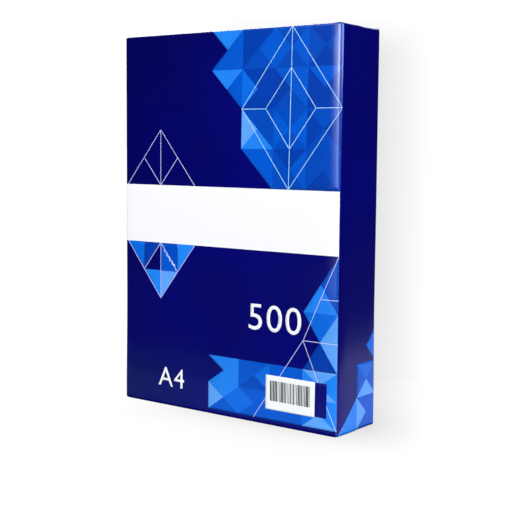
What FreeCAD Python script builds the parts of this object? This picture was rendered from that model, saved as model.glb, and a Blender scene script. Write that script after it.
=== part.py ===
"""A sealed ream: a stack of A4 sheets in a glued paper wrapper, standing on one short end.

The pack is closed on every side, so it is one solid. Its form is that of the wrapper: soft long
edges where the paper stands off the stack, tighter edges round the two ends, a glued overlap down
the back, and envelope folds at both ends. Each fold and the overlap step by one ply of wrapper.

Frame: millimetres, +Z up along the long side of the sheets, the printed front faces -Y,
and the origin is the middle of the footprint.
"""
import FreeCAD, Part
import os

import Sketcher

DRIVING_SIZES = [
    ("sheet_width", 210.0, "short side of an A4 sheet"),
    ("sheet_length", 297.0, "long side of an A4 sheet"),
    ("sheet_count", 500.0, "sheets in the stack"),
    ("sheet_thickness", 0.103, "one sheet of 80 g/m2 copy paper"),
    ("ply_step", 0.25, "one ply of wrapper with its glue and the air under it"),
    ("side_gap", 0.25, "air between the stack and the wrapper at each long side"),
    ("end_gap", 0.25, "air between the stack and the first ply at each end"),
    ("long_edge_radius", 4.0, "bend of the wrapper along the long edges"),
    ("end_edge_radius", 1.6, "bend of the wrapper round the ends"),
    ("outer_flap_length", 44.0, "last end flap, folded over from the back"),
    ("inner_flap_length", 40.0, "end flap under it, folded over from the front"),
    ("seam_overlap", 22.0, "width of the glued overlap down the back"),
    ("seam_offset", 24.0, "middle of the overlap, from the middle of the back"),
]

# Sizes of the whole pack, as expressions on the driving sizes
PACK_WIDTH = "(Sizes.sheet_width + 2 * (Sizes.side_gap + Sizes.ply_step))"
# One ply in front, one behind, and one more where the back overlaps
PACK_DEPTH = "(Sizes.sheet_count * Sizes.sheet_thickness + 3 * Sizes.ply_step)"
# Three plies close each end: the side tucks, the inner flap and the outer flap
PACK_HEIGHT = "(Sizes.sheet_length + 2 * (Sizes.end_gap + 3 * Sizes.ply_step))"

LEFT = f"(-{PACK_WIDTH} / 2)"
RIGHT = f"({PACK_WIDTH} / 2)"
FRONT = f"(-{PACK_DEPTH} / 2)"
SEAM_FACE = f"({PACK_DEPTH} / 2)"
BACK_PANEL = f"({PACK_DEPTH} / 2 - Sizes.ply_step)"

# How far a trimming sketch reaches past the pack on each side
TRIM_MARGIN = "(Sizes.long_edge_radius + Sizes.end_edge_radius)"


def make_size_sheet(doc):
    """Writes the driving sizes to a spreadsheet, one named cell each."""
    sheet = doc.addObject("Spreadsheet::Sheet", "Sizes")
    for row, (alias, value, meaning) in enumerate(DRIVING_SIZES, start=1):
        sheet.set(f"A{row}", alias)
        sheet.set(f"B{row}", str(value))
        sheet.set(f"C{row}", meaning)
        sheet.setAlias(f"B{row}", alias)
    doc.recompute()
    return sheet


def ground_sketch(body, name):
    """A sketch on the body's own ground plane."""
    ground = next(f for f in body.Origin.OriginFeatures if f.Role == "XY_Plane")
    sketch = body.newObject("Sketcher::SketchObject", name)
    sketch.AttachmentSupport = [(ground, "")]
    sketch.MapMode = "FlatFace"
    return sketch


def add_polygon(sketch, corners):
    """Draws a closed polygon. Each corner is a pair of expressions, its X and Y from the origin."""
    first = sketch.GeometryCount
    count = len(corners)
    # The corners start on a parabola, and the expressions then put each one in its place
    points = [FreeCAD.Vector(index, index * index, 0) for index in range(count)]
    for index, start in enumerate(points):
        end = points[(index + 1) % count]
        sketch.addGeometry(Part.LineSegment(start, end), False)
    for index in range(count):
        following = (index + 1) % count
        sketch.addConstraint(
            Sketcher.Constraint("Coincident", first + index, 2, first + following, 1)
        )
    for index, (x, y) in enumerate(corners):
        for kind, value, expression in (
            ("DistanceX", points[index].x, x),
            ("DistanceY", points[index].y, y),
        ):
            number = sketch.addConstraint(
                Sketcher.Constraint(kind, -1, 1, first + index, 1, value)
            )
            sketch.setExpression(f"Constraints[{number}]", expression)


def edges_at_ends(shape):
    """Names of the edges that lie in the lowest or the highest plane of the shape."""
    box = shape.BoundBox
    close = 1e-6
    return [
        f"Edge{index}"
        for index, edge in enumerate(shape.Edges, start=1)
        if edge.BoundBox.ZMax < box.ZMin + close or edge.BoundBox.ZMin > box.ZMax - close
    ]


def edges_along_length(shape):
    """Names of the edges that run from end to end."""
    return [
        f"Edge{index}"
        for index, edge in enumerate(shape.Edges, start=1)
        if edge.BoundBox.ZLength > shape.BoundBox.ZLength / 2
    ]


def round_edges(body, name, base, edge_names, size_name):
    """Rounds the named edges by a driving size."""
    fillet = body.newObject("PartDesign::Fillet", name)
    fillet.Base = (base, edge_names)
    fillet.setExpression("Radius", f"Sizes.{size_name}")
    body.Document.recompute()
    return fillet


def make_block(doc, name, back_face, plies_under):
    """A wrapped block with all its edges rounded, whose ends lie a number of plies inside the pack's."""
    body = doc.addObject("PartDesign::Body", name)
    section = ground_sketch(body, f"{name}_section")
    section.setExpression("AttachmentOffset.Base.z", f"{plies_under} * Sizes.ply_step")
    add_polygon(
        section,
        [(LEFT, FRONT), (RIGHT, FRONT), (RIGHT, back_face), (LEFT, back_face)],
    )
    pad = body.newObject("PartDesign::Pad", f"{name}_pad")
    pad.Profile = section
    pad.setExpression("Length", f"{PACK_HEIGHT} - 2 * {plies_under} * Sizes.ply_step")
    doc.recompute()
    sides = round_edges(
        body, f"{name}_long_edges", pad, edges_along_length(pad.Shape), "long_edge_radius"
    )
    round_edges(
        body, f"{name}_end_edges", sides, edges_at_ends(sides.Shape), "end_edge_radius"
    )
    return body


def keep_column(body, corners):
    """Trims a block to the part of it that stands over a polygon of its footprint."""
    name = f"{body.Name}_trim"
    outline = ground_sketch(body, name)
    past_left = f"({LEFT} - {TRIM_MARGIN})"
    past_right = f"({RIGHT} + {TRIM_MARGIN})"
    past_front = f"({FRONT} - {TRIM_MARGIN})"
    past_back = f"({SEAM_FACE} + {TRIM_MARGIN})"
    add_polygon(
        outline,
        [
            (past_left, past_front),
            (past_right, past_front),
            (past_right, past_back),
            (past_left, past_back),
        ],
    )
    add_polygon(outline, corners)
    volume_before = body.Shape.Volume
    trim = body.newObject("PartDesign::Pocket", f"{name}_cut")
    trim.Profile = outline
    trim.Type = "ThroughAll"
    trim.Midplane = True
    body.Document.recompute()
    if not 0 < trim.Shape.Volume < volume_before:
        raise RuntimeError(f"{name} cut nothing")


def flap_corners(fold_line, inwards, length):
    """Footprint of an end flap: it starts at a fold line and narrows at 45 degrees on both sides."""
    free_edge = f"({fold_line} {inwards} {length})"
    return [
        (LEFT, fold_line),
        (RIGHT, fold_line),
        (f"({RIGHT} - {length})", free_edge),
        (f"({LEFT} + {length})", free_edge),
    ]


def make_ream(doc):
    """The sealed pack as one body: the tucked block with the flaps and the overlap on it."""
    inner_flap = make_block(doc, "inner_flap", BACK_PANEL, 1)
    keep_column(inner_flap, flap_corners(FRONT, "+", "Sizes.inner_flap_length"))

    outer_flap = make_block(doc, "outer_flap", BACK_PANEL, 0)
    keep_column(outer_flap, flap_corners(BACK_PANEL, "-", "Sizes.outer_flap_length"))

    seam = make_block(doc, "back_seam", SEAM_FACE, 0)
    seam_left = "(Sizes.seam_offset - Sizes.seam_overlap / 2)"
    seam_right = "(Sizes.seam_offset + Sizes.seam_overlap / 2)"
    keep_column(
        seam,
        [(seam_left, "0"), (seam_right, "0"), (seam_right, SEAM_FACE), (seam_left, SEAM_FACE)],
    )

    ream = make_block(doc, "paper_ream", BACK_PANEL, 2)
    wrapper = ream.newObject("PartDesign::Boolean", "wrapper_folds")
    wrapper.Type = "Fuse"
    wrapper.Group = [inner_flap, outer_flap, seam]
    ream.Tip = wrapper
    doc.recompute()
    ream.Label = "paper_ream"
    return ream


def check(doc, sub_parts):
    """Stops the script if any object failed, or a sub-part isn't one sound solid."""
    for item in doc.Objects:
        if "Invalid" in item.State or "Error" in item.State:
            raise RuntimeError(f"{item.Name} failed: {item.State}")
    for item in sub_parts:
        shape = item.Shape
        if shape.isNull() or not shape.isValid():
            raise RuntimeError(f"{item.Label} has no valid shape")
        if len(shape.Solids) != 1:
            raise RuntimeError(f"{item.Label} has {len(shape.Solids)} solids")


def main():
    doc = FreeCAD.newDocument("ream")
    make_size_sheet(doc)
    sub_parts = [make_ream(doc)]
    check(doc, sub_parts)
    os.makedirs("parts", exist_ok=True)
    for item in sub_parts:
        item.Shape.exportStep(f"parts/{item.Label}.step")
        box = item.Shape.optimalBoundingBox(False)
        print(
            f"{item.Label}: {box.XLength:.2f} x {box.YLength:.2f} x {box.ZLength:.2f} mm, "
            f"{item.Shape.Volume / 1000:.1f} cm3, {len(item.Shape.Faces)} faces"
        )


main()
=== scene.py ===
"""A sealed ream of copy paper that stands on one end: its folded wrapper, and the print on it.

The wrapper is drawn as a flat sheet first. Its place along the sheet, u, runs round the pack from the
front left fold line, and its place up the sheet, v, runs from the lower end to the upper one. Each
printed field is made flat in u and v, and is then laid on the wrapper through the wrapper's own UV map.
"""
import math

import bmesh
import bpy
import numpy as np
from bpy.props import (
    FloatProperty,
    FloatVectorProperty,
    IntProperty,
    PointerProperty,
)
from mathutils import Matrix, Vector, noise


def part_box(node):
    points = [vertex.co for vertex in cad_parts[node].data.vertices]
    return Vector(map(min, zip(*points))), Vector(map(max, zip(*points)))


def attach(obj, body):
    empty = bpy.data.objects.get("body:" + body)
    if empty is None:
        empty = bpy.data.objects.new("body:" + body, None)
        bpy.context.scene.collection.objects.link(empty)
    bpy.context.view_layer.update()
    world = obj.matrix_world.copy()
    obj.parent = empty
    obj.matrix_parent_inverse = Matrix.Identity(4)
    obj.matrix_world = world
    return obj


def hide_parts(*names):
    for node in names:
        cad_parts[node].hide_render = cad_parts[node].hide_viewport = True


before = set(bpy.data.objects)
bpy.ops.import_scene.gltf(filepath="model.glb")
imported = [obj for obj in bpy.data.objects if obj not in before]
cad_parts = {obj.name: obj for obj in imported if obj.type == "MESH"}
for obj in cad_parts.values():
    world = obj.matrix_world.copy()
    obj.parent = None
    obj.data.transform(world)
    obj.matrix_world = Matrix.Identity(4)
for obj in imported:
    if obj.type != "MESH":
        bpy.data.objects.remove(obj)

bl_info = {
    "name": "Paper ream",
    "version": (1, 0, 0),
    "blender": (4, 5, 0),
    "location": "3D Viewport > Sidebar > Ream",
    "description": "A sealed ream of copy paper, with its folds and its print",
    "category": "Add Mesh",
}

CAD_NODE = "paper_ream"
BODY = "root"
PACK_LOW, PACK_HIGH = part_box(CAD_NODE)
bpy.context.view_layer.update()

MM = 0.001
SHEET_MAP = "sheet"
FOLD_ATTRIBUTE = "fold"

# How deep a print reaches into the paper, and the rise from one layer of ink to the next
FILM_ROOT = 0.06 * MM
INK_LAYER = 0.03 * MM
# Points of flat artwork that are closer than this touch
TOUCHING = 0.01 * MM
# Sizes shared by the facets and the outlines: the cells at the foot, and the figure left of the band
FOOT_CELL = 21.3 * MM
FIGURE_LEFT = 3 * MM
FIGURE_STEP = (18 * MM, 22.5 * MM)

# The shade round the pack's foot: its depth, the middle and half width of the foot, and its reach
FOOT_SHADE = 0.105
FOOT_SHADE_X = (0.02, 0.06)
FOOT_SHADE_REACH = 0.1
# The band of shade behind the pack: its depth and its turn, then for each side where the shade is
# nothing and where it is full
BAND_SHADE = 0.207
BAND_TURN = math.radians(28.6)
BAND_RIGHT = (0.1453, 0.0993)
BAND_LEFT = (-0.09, 0.0)
BAND_START = (-0.06, 0.03)
BAND_END = (0.21, 0.143)
BAND_TOP = (0.335, 0.285)


def length(name, description, default):
    """A property in millimetres for the sidebar, kept in metres."""
    return FloatProperty(
        name=name, description=description, default=default, unit="LENGTH", precision=5
    )


def colour(name, description, default):
    """A colour for the sidebar, in linear light."""
    return FloatVectorProperty(
        name=name, description=description, default=default, subtype="COLOR", min=0, max=1
    )


def angle(name, description, degrees):
    """An angle for the sidebar, kept in radians."""
    return FloatProperty(
        name=name, description=description, default=math.radians(degrees), subtype="ANGLE", unit="ROTATION"
    )


class ReamWrapperSettings(bpy.types.PropertyGroup):
    """Sizes of the wrapper and its folds."""

    long_edge: length("Long edge radius", "Bend along the four long edges", 2.7 * MM)
    end_edge: length("End edge radius", "Bend of the wrapper round both ends", 1.5 * MM)
    end_slack: length("End slack", "Extra bend where the last flap is folded over", 0.9 * MM)
    tuck_depth: length("Tuck depth", "How far the tucked sides lie inside each end", 0.5 * MM)
    ply: length("Ply", "Step from one fold to the next", 0.2 * MM)
    shoulder_width: length("Shoulder width", "Width over which a panel rounds off to its edge", 8.5 * MM)
    shoulder_drop: length("Shoulder drop", "How far a panel falls back at its roundest edge", 0.62 * MM)
    crease_height: length("Crease height", "Rise of the sharp line along each long edge", 0.12 * MM)
    crease_width: length("Crease width", "Half width of that line", 0.3 * MM)
    slackness: length("Slackness", "Depth of the shallow hollows in the paper", 0.09 * MM)
    settling: length("Settling", "How far the foot of the pack spreads under its weight", 0.7 * MM)
    mesh_step: length("Mesh step", "Widest spacing of the wrapper's mesh", 3.0 * MM)
    outer_flap: length("Outer flap", "Last flap of each end, folded over from the back", 44.0 * MM)
    inner_flap: length("Inner flap", "Flap under it, folded over from the front", 40.0 * MM)
    seam_width: length("Seam width", "Glued overlap down the back", 22.0 * MM)
    seam_middle: length("Seam middle", "Middle of the overlap, from the middle of the back", 24.0 * MM)


class ReamPrintSettings(bpy.types.PropertyGroup):
    """Places and colours of the print, measured on the front panel."""

    ground: colour("Ground", "Ink that covers the wrapper", (0.0006, 0.0008, 0.15))
    band: colour("Band", "Plain band across the front", (0.95, 0.95, 0.965))
    blue_1: colour("Blue 1", "Darkest facet", (0.0005, 0.046, 0.40))
    blue_2: colour("Blue 2", "Second facet", (0.0005, 0.068, 0.49))
    blue_3: colour("Blue 3", "Third facet", (0.0005, 0.094, 0.61))
    blue_4: colour("Blue 4", "Fourth facet", (0.003, 0.145, 0.75))
    blue_5: colour("Blue 5", "Fifth facet", (0.015, 0.225, 0.87))
    blue_6: colour("Blue 6", "Sixth facet", (0.11, 0.37, 0.93))
    blue_7: colour("Blue 7", "Palest facet", (0.36, 0.55, 0.94))
    band_bottom: length("Band bottom", "Lower edge of the plain band", 133.0 * MM)
    band_top: length("Band top", "Upper edge of the plain band", 179.5 * MM)
    margin: length("Margin", "Unprinted strip of ground at the foot", 5.0 * MM)
    columns: IntProperty(name="Columns", description="Facet cells across the front", default=7, min=1)
    line_width: length("Line width", "Width of the thin pale outlines", 0.54 * MM)
    skew: FloatProperty(
        name="Skew", description="How far the upper print leans over the right fold line", default=0.02
    )
    seed: IntProperty(name="Seed", description="Order of the facets' colours", default=4)


class ReamStageSettings(bpy.types.PropertyGroup):
    """The camera and the light."""

    camera_place: FloatVectorProperty(
        name="Camera", description="Place of the camera", default=(0.5355, -0.6912, 0.2120),
        subtype="TRANSLATION",
    )
    camera_turn: angle("Turn", "How far the view is turned to the left of +Y", 37.198)
    camera_tilt: angle("Tilt", "How far the view looks down", 5.702)
    camera_roll: angle("Roll", "How far the camera leans", 0.477)
    lens: FloatProperty(name="Lens", description="Focal length in millimetres", default=78.07)
    background_in_gloss: FloatProperty(
        name="Background in gloss", default=0.02, min=0, max=1,
        description="How bright the white background is in glossy reflections",
    )


class Section:
    """The pack's outline seen from above, as stations that start and end at the front left fold line."""

    ARC_STEPS = 9
    # Above 1, this draws the stations of a bend towards its fold line
    ARC_CROWDING = 1.5
    EDGE_ZONE = 12 * MM
    EDGE_STEP = 1.2 * MM

    def __init__(self, settings):
        radius = settings.long_edge
        self.radius = radius
        self.quarter = radius * math.pi / 4
        self.half_width = PACK_HIGH.x
        self.front = PACK_LOW.y
        self.back = PACK_HIGH.y - settings.ply
        width = 2 * (self.half_width - radius)
        depth = self.back - self.front - 2 * radius
        self.panel = width + 2 * self.quarter
        self.side = depth + 2 * self.quarter
        self.folds = [0, self.panel, self.panel + self.side, 2 * self.panel + self.side]
        self.flats = [width, depth, width, depth]
        self.girth = 2 * (self.panel + self.side)
        arc = self.quarter * np.linspace(0, 1, self.ARC_STEPS + 1) ** self.ARC_CROWDING
        stations = [arc]
        self.straight = []
        for number, (start, straight) in enumerate(zip(self.folds, self.flats)):
            run = start + self.quarter + self.spread(straight, settings.mesh_step)
            first = sum(len(part) for part in stations) - 1
            self.straight.append((first, first + len(run)))
            stations.append(run[1:])
            end = start + straight + 2 * self.quarter
            stations.append(end - arc[::-1][1:])
            if number < 3:
                stations.append(end + arc[1:])
        self.u = np.concatenate(stations)
        self.places = np.array([self.place(u) for u in self.u])

    def spread(self, straight, step):
        """Stations along a straight stretch, closer together near its ends."""
        zone = min(self.EDGE_ZONE, straight / 3)
        near = np.linspace(0, zone, round(zone / self.EDGE_STEP) + 1)
        middle = np.linspace(zone, straight - zone, max(2, round((straight - 2 * zone) / step)) + 1)
        return np.concatenate([near, middle[1:-1], straight - near[::-1]])

    def place(self, u):
        """x, y and the two parts of the outward normal at a station."""
        u = u % self.girth
        left, right = self.radius - self.half_width, self.half_width - self.radius
        near, far = self.front + self.radius, self.back - self.radius
        pivots = ((left, near), (right, near), (right, far), (left, far))
        for number, (start, straight, pivot) in enumerate(zip(self.folds, self.flats, pivots)):
            along = u - start
            if along > straight + 2 * self.quarter:
                continue
            facing = (number - 1) * math.pi / 2
            ahead = np.clip(along - self.quarter, 0, straight)
            turn = facing + (along - self.quarter - ahead) / self.radius
            normal = (math.cos(turn), math.sin(turn))
            heading = (-math.sin(facing), math.cos(facing))
            return (
                pivot[0] + heading[0] * ahead + self.radius * normal[0],
                pivot[1] + heading[1] * ahead + self.radius * normal[1],
                *normal,
            )
        raise ValueError(f"{u} is past the end of the sheet")

    def nearest_fold(self, u):
        """Distance from the nearest long fold line, and the number of that line."""
        return min(
            (abs((u - fold + self.girth / 2) % self.girth - self.girth / 2), number)
            for number, fold in enumerate(self.folds)
        )

    def back_station(self, x):
        """The station on the back panel that lies at x."""
        return self.folds[2] + self.quarter + (self.half_width - self.radius) - x


class Rows:
    """Levels up the pack. A level v is a height on the panels, and goes on round both ends."""

    BEND_STEPS = 6
    END_ZONE = 12 * MM
    END_STEP = 1.5 * MM

    def __init__(self, settings, printed):
        self.bend = settings.end_edge
        self.low = PACK_LOW.z + settings.tuck_depth
        self.high = PACK_HIGH.z - settings.tuck_depth
        self.first = self.low + self.bend
        self.last = self.high - self.bend
        bend = self.bend * np.linspace(0, math.pi / 2, self.BEND_STEPS + 1)[1:]
        near = np.linspace(0, self.END_ZONE, round(self.END_ZONE / self.END_STEP) + 1)
        marks = [
            self.first + self.END_ZONE, printed.band_bottom, printed.band_top, self.last - self.END_ZONE
        ]
        stretches = [
            np.linspace(start, end, round((end - start) / settings.mesh_step) + 1)[1:]
            for start, end in zip(marks, marks[1:])
        ]
        lower_end = [self.first - bend[::-1], self.first + near]
        upper_end = [self.last - near[::-1][1:], self.last + bend]
        self.v = np.concatenate([*lower_end, *stretches, *upper_end])

    @property
    def lower_fold(self):
        """The level of the fold line at the lower end, in the middle of its bend."""
        return self.first - self.bend * math.pi / 4

    @property
    def upper_fold(self):
        """The level of the fold line at the upper end, in the middle of its bend."""
        return self.last + self.bend * math.pi / 4

def smooth_step(value, start, end):
    """0 before start, 1 after end, and a smooth rise between them."""
    share = min(max((value - start) / (end - start), 0), 1)
    return share * share * (3 - 2 * share)


def grain(u, v, swell, mean=0.5, swing=0.5):
    """Smooth noise about a mean. Its swells have a length in u, a length in v and a seed."""
    along, up, seed = swell
    return mean + swing * noise.noise(Vector((u / along, v / up, seed)))


class WrapperForm:
    """Where each point of the sheet lies once it is folded round the stack."""

    SLACK_ZONE = 6 * MM
    # Length along the sheet and up it, and the seed, of each kind of swell in the paper
    SHOULDER = (200 * MM, 90 * MM, 3.0)
    CREASE = (50 * MM, 30 * MM, 5.0)
    FLUTE = (9 * MM, 70 * MM, 1.0)
    HOLLOW = (45 * MM, 60 * MM, 2.0)
    DENT = (10 * MM, 8 * MM, 4.0)
    # How far the flutes reach from a long edge, in shoulder widths, and the dents from an end
    FLUTE_REACH = 2.5
    DENT_ZONE = 16 * MM
    FOOT_ZONE = 95 * MM
    # How round the panels are at the front left, front right, back right and back left fold lines
    ROUNDNESS = (0.5, 1.0, 0.35, 0.35)
    # The stretches of y in which the bend at the ends opens behind the middle, and closes again
    SLACK_OPENS = (-4 * MM, 4 * MM)
    SLACK_CLOSES = (21 * MM, 25.5 * MM)
    # How far the wear reaches from a long fold line, and from one round an end
    LONG_WEAR = 0.7 * MM
    END_WEAR = 0.8 * MM
    # Length and width of the swells inside the ends, and the strip round them that stays plain
    CAP_SWELL = (20 * MM, 20 * MM)
    CAP_RIM = 3 * MM

    def __init__(self, settings, section, rows):
        self.settings = settings
        self.section = section
        self.rows = rows

    def relief(self, u, v):
        """How far the paper stands out from the plain form. It is below 0 nearly everywhere."""
        settings, section = self.settings, self.section
        off_fold, fold = section.nearest_fold(u)
        edge = section.quarter
        drop = self.ROUNDNESS[fold] * self.shoulder(off_fold, edge)
        drop *= grain(u, v, self.SHOULDER, mean=0.9, swing=0.35)
        crease = settings.crease_height * math.exp(-((off_fold / settings.crease_width) ** 2))
        crease *= grain(u, v, self.CREASE, mean=0.6)
        near_edge = 1 - smooth_step(off_fold, edge, self.FLUTE_REACH * settings.shoulder_width)
        off_end = min(v - self.rows.low, self.rows.high - v)
        near_end = 1 - smooth_step(off_end, 0, self.DENT_ZONE)
        flutes = 0.5 * near_edge * grain(u, v, self.FLUTE)
        dents = 0.9 * near_end * grain(u, v, self.DENT)
        hollow = settings.slackness * (flutes + dents + 0.8 * grain(u, v, self.HOLLOW))
        spread = settings.settling * (1 - smooth_step(v, 0, self.FOOT_ZONE))
        return crease + spread - drop - hollow

    def shoulder(self, off_fold, edge):
        """How far a panel has fallen back: its slope grows up to the edge, and eases off over it."""
        width, depth = self.settings.shoulder_width, self.settings.shoulder_drop
        if off_fold >= edge:
            return depth * max(0.0, 1 - (off_fold - edge) / width) ** 2
        past = edge - off_fold
        return depth + 2 * depth / width * (past - past * past / (2 * edge))

    def end_bend(self, u):
        """Radius of the bend at the ends, larger over the back half of each side."""
        section = self.section
        x, y, _, _ = section.place(u)
        towards_back = smooth_step(y, *self.SLACK_OPENS) * (1 - smooth_step(y, *self.SLACK_CLOSES))
        on_side = smooth_step(abs(x), section.half_width - section.radius, section.half_width)
        return self.settings.end_edge + self.settings.end_slack * towards_back * on_side

    def point(self, u, v):
        """The point in space of a point of the sheet."""
        rows = self.rows
        x, y, nx, ny = self.section.place(u)
        bend = self.end_bend(u)
        out = self.relief(u, v)
        upper = v > (rows.low + rows.high) / 2
        sign = 1 if upper else -1
        past = (v - rows.last if upper else rows.first - v) / rows.bend
        if past > 0:
            inset = bend * (1 - math.cos(past))
            z = (rows.high if upper else rows.low) + sign * bend * (math.sin(past) - 1)
            out *= math.cos(past)
        else:
            inset = 0
            reach = max(0, 1 + past * rows.bend / self.SLACK_ZONE)
            z = v - sign * (bend - rows.bend) * reach
        return Vector((x + nx * (out - inset), y + ny * (out - inset), z))

    def closeness_to_folds(self, u, v):
        """1 on a fold line and 0 a few millimetres away from it."""
        off_long = self.section.nearest_fold(u)[0] / self.LONG_WEAR
        off_end = min(abs(v - self.rows.upper_fold), abs(v - self.rows.lower_fold)) / self.END_WEAR
        return math.exp(-(min(off_long, off_end) ** 2))


def grid_faces(columns, rows, index):
    """Quads of a grid, with index giving a corner's number."""
    return [
        (index(p, q), index(p + 1, q), index(p + 1, q + 1), index(p, q + 1))
        for q in range(rows - 1)
        for p in range(columns - 1)
    ]


def turned_over(faces):
    """Faces that look the other way."""
    return [tuple(reversed(face)) for face in faces]


def cap_mesh(form, ring, points, level, upward):
    """Closes an end of the wrapper: a plain grid, joined to the last ring by strips and corner fans."""
    section = form.section
    front, right, back, left = section.straight
    xs = [section.places[i][0] for i in range(*front)]
    ys = [section.places[i][1] for i in range(*right)]
    base = len(points)
    for y in ys:
        for x in xs:
            sink = form.settings.slackness * grain(x, y, (*form.CAP_SWELL, 6.0 + level))
            rim = min(x - xs[0], xs[-1] - x, y - ys[0], ys[-1] - y)
            sink *= smooth_step(rim, 0, form.CAP_RIM)
            points.append(Vector((x, y, level - sink if upward else level + sink)))

    def core(p, q):
        return base + q * len(xs) + p

    last_x, last_y = len(xs) - 1, len(ys) - 1
    faces = grid_faces(len(xs), len(ys), core)
    for start, count, inner in (
        (front[0], last_x, lambda p: core(p, 0)),
        (right[0], last_y, lambda q: core(last_x, q)),
        (back[0], last_x, lambda p: core(last_x - p, last_y)),
        (left[0], last_y, lambda q: core(0, last_y - q)),
    ):
        faces += [
            (ring[start + step], ring[start + step + 1], inner(step + 1), inner(step))
            for step in range(count)
        ]
    for start, end, pivot in (
        (front[1] - 1, right[0], core(last_x, 0)),
        (right[1] - 1, back[0], core(last_x, last_y)),
        (back[1] - 1, left[0], core(0, last_y)),
        (left[1] - 1, front[0] + len(ring), core(0, 0)),
    ):
        faces += [(ring[i % len(ring)], ring[(i + 1) % len(ring)], pivot) for i in range(start, end)]
    return faces if upward else turned_over(faces)


def keep_folds(mesh, values):
    """Stores how close each point of a mesh is to a fold."""
    attribute = mesh.attributes.new(FOLD_ATTRIBUTE, "FLOAT", "POINT")
    attribute.data.foreach_set("value", np.array(values, np.float32))


def wrapper_mesh(form, printed):
    """The whole wrapper as one closed mesh, with the sheet's own place as its UV map."""
    section, rows = form.section, form.rows
    count = len(section.u) - 1
    stations = [(u, v) for v in rows.v for u in section.u[:-1]]
    points = [form.point(u, v) for u, v in stations]
    closeness = [form.closeness_to_folds(u, v) for u, v in stations]
    faces = grid_faces(count + 1, len(rows.v), lambda p, q: q * count + p % count)
    sheet = []
    for low, high in zip(rows.v, rows.v[1:]):
        for start, end in zip(section.u, section.u[1:]):
            sheet += rectangle(start, low, end, high)
    tube = len(faces)
    lower_ring = list(range(count))
    upper_ring = list(range(len(points) - count, len(points)))
    faces += cap_mesh(form, lower_ring, points, rows.low, False)
    faces += cap_mesh(form, upper_ring, points, rows.high, True)
    beyond = 2 * rows.high
    for face in faces[tube:]:
        shift = beyond if points[face[0]].z < rows.first else 2 * beyond
        sheet += [(points[i].x, points[i].y + shift) for i in face]

    mesh = new_mesh("wrapper", points, [], faces)
    uv_map = mesh.uv_layers.new(name=SHEET_MAP)
    uv_map.data.foreach_set("uv", np.array(sheet, np.float32).ravel())
    keep_folds(mesh, closeness + [0.0] * (len(points) - len(closeness)))
    for number, face in enumerate(mesh.polygons):
        face.use_smooth = True
        if number < tube:
            u, v = np.mean(sheet[4 * number : 4 * number + 4], axis=0)
            on_band = u < section.panel and printed.band_bottom < v < printed.band_top
            face.material_index = 1 if on_band else 0
    return mesh


def wrapper_form(context):
    """The folded form that every operator works from."""
    settings = context.scene.ream_wrapper
    return WrapperForm(settings, Section(settings), Rows(settings, context.scene.ream_print))


def new_object(name, data):
    """An object in the scene."""
    made = bpy.data.objects.new(name, data)
    bpy.context.scene.collection.objects.link(made)
    return made


def add_piece(name, mesh, *materials):
    """A finished piece of the pack: an object at the origin that rides on the pack's body."""
    piece = new_object(name, mesh)
    for material in materials:
        mesh.materials.append(material)
    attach(piece, BODY)
    return piece


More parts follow.
